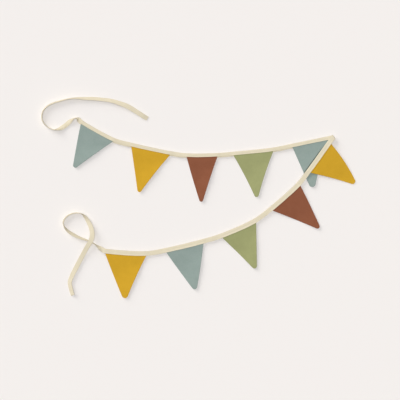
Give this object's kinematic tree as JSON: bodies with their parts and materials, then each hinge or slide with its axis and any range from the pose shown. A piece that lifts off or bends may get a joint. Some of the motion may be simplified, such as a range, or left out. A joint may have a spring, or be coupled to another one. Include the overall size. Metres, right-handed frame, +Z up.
{
  "type": "fabric bunting",
  "caption": "Triangular cotton flags in muted colours sewn into a folded cream tape with tie ends, laid out flat and doubled back at one corner, for hanging up as decoration.",
  "frame": {"origin": "on the surface that the bunting lies on, under the middle of its outline", "axes": "+Z up from that surface; +X along the longer side of the layout, towards the corner where the tape doubles back; +Y towards the upper tie"},
  "size_m": [1.0677, 0.6835, 0.0205],
  "materials": {
    "tape_cotton": "matte plain-woven cotton binding, unbleached",
    "blue_cotton": "matte plain-woven cotton, dyed blue-grey",
    "mustard_cotton": "matte plain-woven cotton, dyed mustard",
    "rust_cotton": "matte plain-woven cotton, dyed rust",
    "green_cotton": "matte plain-woven cotton, dyed sage green"
  },
  "bodies": {
    "root": {"tape": "tape_cotton", "flag_01": "blue_cotton", "flag_02": "mustard_cotton", "flag_03": "rust_cotton", "flag_04": "green_cotton", "flag_05": "blue_cotton", "flag_06": "mustard_cotton", "flag_07": "rust_cotton", "flag_08": "green_cotton", "flag_09": "blue_cotton", "flag_10": "mustard_cotton"}
  },
  "joints": []
}
